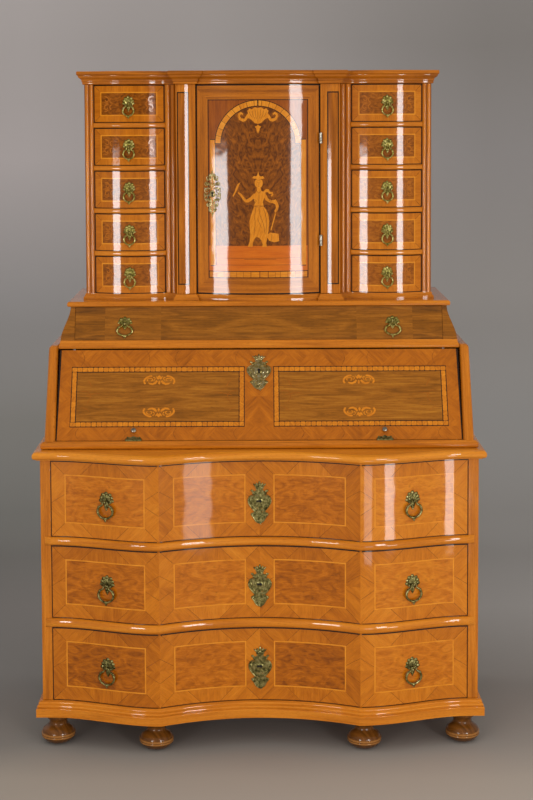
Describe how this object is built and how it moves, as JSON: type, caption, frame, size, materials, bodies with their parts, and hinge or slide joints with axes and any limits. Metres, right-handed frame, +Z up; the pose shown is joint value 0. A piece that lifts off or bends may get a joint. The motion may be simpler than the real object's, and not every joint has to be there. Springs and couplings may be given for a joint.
{
  "type": "tabernacle secretaire",
  "caption": "Serpentine-fronted walnut commode with a slant-front desk over it and a tabernacle of small drawers round an inlaid bow-fronted door on top.",
  "frame": {"origin": "on the floor, under the middle of the whole piece", "axes": "+X to the right as one faces it, +Y towards the wall, +Z up"},
  "size_m": [1.238, 0.6403, 1.855],
  "materials": {
    "honey_walnut": "walnut veneer with light and dark stringing, French polished to a high gloss",
    "dark_walnut": "olive-brown figured walnut veneer, French polished",
    "stained_bun": "turned wood stained dark red-brown, polished",
    "carcase_pine": "aged planed pine, bare",
    "aged_brass": "cast brass with an aged green-brown tone"
  },
  "bodies": {
    "cabinet": {"foot_front_left_outer": "stained_bun", "foot_front_left_inner": "stained_bun", "foot_front_right_inner": "stained_bun", "foot_front_right_outer": "stained_bun", "foot_rear_left": "stained_bun", "foot_rear_right": "stained_bun", "plinth": "honey_walnut", "commode_side_left": "honey_walnut", "commode_side_right": "honey_walnut", "commode_back": "carcase_pine", "drawer_rail_lower": "honey_walnut", "drawer_rail_upper": "honey_walnut", "commode_top": "honey_walnut", "desk_floor": "honey_walnut", "desk_side_left": "honey_walnut", "desk_side_right": "honey_walnut", "desk_back": "carcase_pine", "tier_base": "honey_walnut", "tabernacle_base": "honey_walnut", "tower_left": "honey_walnut", "tower_right": "honey_walnut", "tabernacle_back": "carcase_pine", "cornice": "honey_walnut"},
    "door": {"door": "honey_walnut"},
    "flap": {"flap": "honey_walnut"},
    "drawer_upper": {"drawer_upper": "honey_walnut", "drawer_upper_box": "carcase_pine"},
    "drawer_middle": {"drawer_middle": "honey_walnut", "drawer_middle_box": "carcase_pine"},
    "drawer_lower": {"drawer_lower": "honey_walnut", "drawer_lower_box": "carcase_pine"},
    "tier_drawer": {"tier_drawer": "dark_walnut"},
    "drawer_small_left_1": {"drawer_small_left_1": "honey_walnut"},
    "drawer_small_left_2": {"drawer_small_left_2": "honey_walnut"},
    "drawer_small_left_3": {"drawer_small_left_3": "honey_walnut"},
    "drawer_small_left_4": {"drawer_small_left_4": "honey_walnut"},
    "drawer_small_left_5": {"drawer_small_left_5": "honey_walnut"},
    "drawer_small_right_1": {"drawer_small_right_1": "honey_walnut"},
    "drawer_small_right_2": {"drawer_small_right_2": "honey_walnut"},
    "drawer_small_right_3": {"drawer_small_right_3": "honey_walnut"},
    "drawer_small_right_4": {"drawer_small_right_4": "honey_walnut"},
    "drawer_small_right_5": {"drawer_small_right_5": "honey_walnut"},
    "pull_upper_left": {"pull_upper_left": "aged_brass"},
    "pull_upper_right": {"pull_upper_right": "aged_brass"},
    "pull_middle_left": {"pull_middle_left": "aged_brass"},
    "pull_middle_right": {"pull_middle_right": "aged_brass"},
    "pull_lower_left": {"pull_lower_left": "aged_brass"},
    "pull_lower_right": {"pull_lower_right": "aged_brass"},
    "pull_tier_left": {"pull_tier_left": "aged_brass"},
    "pull_tier_right": {"pull_tier_right": "aged_brass"},
    "pull_small_left_1": {"pull_small_left_1": "aged_brass"},
    "pull_small_left_2": {"pull_small_left_2": "aged_brass"},
    "pull_small_left_3": {"pull_small_left_3": "aged_brass"},
    "pull_small_left_4": {"pull_small_left_4": "aged_brass"},
    "pull_small_left_5": {"pull_small_left_5": "aged_brass"},
    "pull_small_right_1": {"pull_small_right_1": "aged_brass"},
    "pull_small_right_2": {"pull_small_right_2": "aged_brass"},
    "pull_small_right_3": {"pull_small_right_3": "aged_brass"},
    "pull_small_right_4": {"pull_small_right_4": "aged_brass"},
    "pull_small_right_5": {"pull_small_right_5": "aged_brass"}
  },
  "joints": [
    {"name": "door_hinge", "type": "hinge", "parent": "cabinet", "child": "door", "pos_m": [0.1775, -0.0125, 1.2232], "axis": [0, 0, 1], "range_deg": [0, 100]},
    {"name": "flap_hinge", "type": "hinge", "parent": "cabinet", "child": "flap", "pos_m": [0, -0.197, 0.8386], "axis": [1, 0, 0], "range_deg": [0, 116.8]},
    {"name": "drawer_upper_slide", "type": "slide", "parent": "cabinet", "child": "drawer_upper", "axis": [0, -1, 0], "range_m": [0, 0.38]},
    {"name": "drawer_middle_slide", "type": "slide", "parent": "cabinet", "child": "drawer_middle", "axis": [0, -1, 0], "range_m": [0, 0.38]},
    {"name": "drawer_lower_slide", "type": "slide", "parent": "cabinet", "child": "drawer_lower", "axis": [0, -1, 0], "range_m": [0, 0.38]},
    {"name": "tier_drawer_slide", "type": "slide", "parent": "cabinet", "child": "tier_drawer", "axis": [0, -1, 0], "range_m": [0, 0.24]},
    {"name": "drawer_small_left_1_slide", "type": "slide", "parent": "cabinet", "child": "drawer_small_left_1", "axis": [0, -1, 0], "range_m": [0, 0.17]},
    {"name": "drawer_small_left_2_slide", "type": "slide", "parent": "cabinet", "child": "drawer_small_left_2", "axis": [0, -1, 0], "range_m": [0, 0.17]},
    {"name": "drawer_small_left_3_slide", "type": "slide", "parent": "cabinet", "child": "drawer_small_left_3", "axis": [0, -1, 0], "range_m": [0, 0.17]},
    {"name": "drawer_small_left_4_slide", "type": "slide", "parent": "cabinet", "child": "drawer_small_left_4", "axis": [0, -1, 0], "range_m": [0, 0.17]},
    {"name": "drawer_small_left_5_slide", "type": "slide", "parent": "cabinet", "child": "drawer_small_left_5", "axis": [0, -1, 0], "range_m": [0, 0.17]},
    {"name": "drawer_small_right_1_slide", "type": "slide", "parent": "cabinet", "child": "drawer_small_right_1", "axis": [0, -1, 0], "range_m": [0, 0.17]},
    {"name": "drawer_small_right_2_slide", "type": "slide", "parent": "cabinet", "child": "drawer_small_right_2", "axis": [0, -1, 0], "range_m": [0, 0.17]},
    {"name": "drawer_small_right_3_slide", "type": "slide", "parent": "cabinet", "child": "drawer_small_right_3", "axis": [0, -1, 0], "range_m": [0, 0.17]},
    {"name": "drawer_small_right_4_slide", "type": "slide", "parent": "cabinet", "child": "drawer_small_right_4", "axis": [0, -1, 0], "range_m": [0, 0.17]},
    {"name": "drawer_small_right_5_slide", "type": "slide", "parent": "cabinet", "child": "drawer_small_right_5", "axis": [0, -1, 0], "range_m": [0, 0.17]},
    {"name": "pull_upper_left_swing", "type": "hinge", "parent": "drawer_upper", "child": "pull_upper_left", "pos_m": [-0.41814, -0.27614, 0.686], "axis": [-0.9439, 0.3302, 0], "range_deg": [0, 85]},
    {"name": "pull_upper_right_swing", "type": "hinge", "parent": "drawer_upper", "child": "pull_upper_right", "pos_m": [0.41814, -0.27614, 0.686], "axis": [-0.9439, -0.3302, 0], "range_deg": [0, 85]},
    {"name": "pull_middle_left_swing", "type": "hinge", "parent": "drawer_middle", "child": "pull_middle_left", "pos_m": [-0.41814, -0.27614, 0.4555], "axis": [-0.9439, 0.3302, 0], "range_deg": [0, 85]},
    {"name": "pull_middle_right_swing", "type": "hinge", "parent": "drawer_middle", "child": "pull_middle_right", "pos_m": [0.41814, -0.27614, 0.4555], "axis": [-0.9439, -0.3302, 0], "range_deg": [0, 85]},
    {"name": "pull_lower_left_swing", "type": "hinge", "parent": "drawer_lower", "child": "pull_lower_left", "pos_m": [-0.41814, -0.27614, 0.2265], "axis": [-0.9439, 0.3302, 0], "range_deg": [0, 85]},
    {"name": "pull_lower_right_swing", "type": "hinge", "parent": "drawer_lower", "child": "pull_lower_right", "pos_m": [0.41814, -0.27614, 0.2265], "axis": [-0.9439, -0.3302, 0], "range_deg": [0, 85]},
    {"name": "pull_tier_left_swing", "type": "hinge", "parent": "tier_drawer", "child": "pull_tier_left", "pos_m": [-0.3778, -0.0635, 1.14425], "axis": [-1, 0, 0], "range_deg": [0, 85]},
    {"name": "pull_tier_right_swing", "type": "hinge", "parent": "tier_drawer", "child": "pull_tier_right", "pos_m": [0.3778, -0.0635, 1.14425], "axis": [-1, 0, 0], "range_deg": [0, 85]},
    {"name": "pull_small_left_1_swing", "type": "hinge", "parent": "drawer_small_left_1", "child": "pull_small_left_1", "pos_m": [-0.367, -0.0055, 1.76277], "axis": [-1, 0, 0], "range_deg": [0, 85]},
    {"name": "pull_small_left_2_swing", "type": "hinge", "parent": "drawer_small_left_2", "child": "pull_small_left_2", "pos_m": [-0.367, -0.0055, 1.64091], "axis": [-1, 0, 0], "range_deg": [0, 85]},
    {"name": "pull_small_left_3_swing", "type": "hinge", "parent": "drawer_small_left_3", "child": "pull_small_left_3", "pos_m": [-0.367, -0.0055, 1.51905], "axis": [-1, 0, 0], "range_deg": [0, 85]},
    {"name": "pull_small_left_4_swing", "type": "hinge", "parent": "drawer_small_left_4", "child": "pull_small_left_4", "pos_m": [-0.367, -0.0055, 1.39719], "axis": [-1, 0, 0], "range_deg": [0, 85]},
    {"name": "pull_small_left_5_swing", "type": "hinge", "parent": "drawer_small_left_5", "child": "pull_small_left_5", "pos_m": [-0.367, -0.0055, 1.27533], "axis": [-1, 0, 0], "range_deg": [0, 85]},
    {"name": "pull_small_right_1_swing", "type": "hinge", "parent": "drawer_small_right_1", "child": "pull_small_right_1", "pos_m": [0.367, -0.0055, 1.76277], "axis": [-1, 0, 0], "range_deg": [0, 85]},
    {"name": "pull_small_right_2_swing", "type": "hinge", "parent": "drawer_small_right_2", "child": "pull_small_right_2", "pos_m": [0.367, -0.0055, 1.64091], "axis": [-1, 0, 0], "range_deg": [0, 85]},
    {"name": "pull_small_right_3_swing", "type": "hinge", "parent": "drawer_small_right_3", "child": "pull_small_right_3", "pos_m": [0.367, -0.0055, 1.51905], "axis": [-1, 0, 0], "range_deg": [0, 85]},
    {"name": "pull_small_right_4_swing", "type": "hinge", "parent": "drawer_small_right_4", "child": "pull_small_right_4", "pos_m": [0.367, -0.0055, 1.39719], "axis": [-1, 0, 0], "range_deg": [0, 85]},
    {"name": "pull_small_right_5_swing", "type": "hinge", "parent": "drawer_small_right_5", "child": "pull_small_right_5", "pos_m": [0.367, -0.0055, 1.27533], "axis": [-1, 0, 0], "range_deg": [0, 85]}
  ]
}
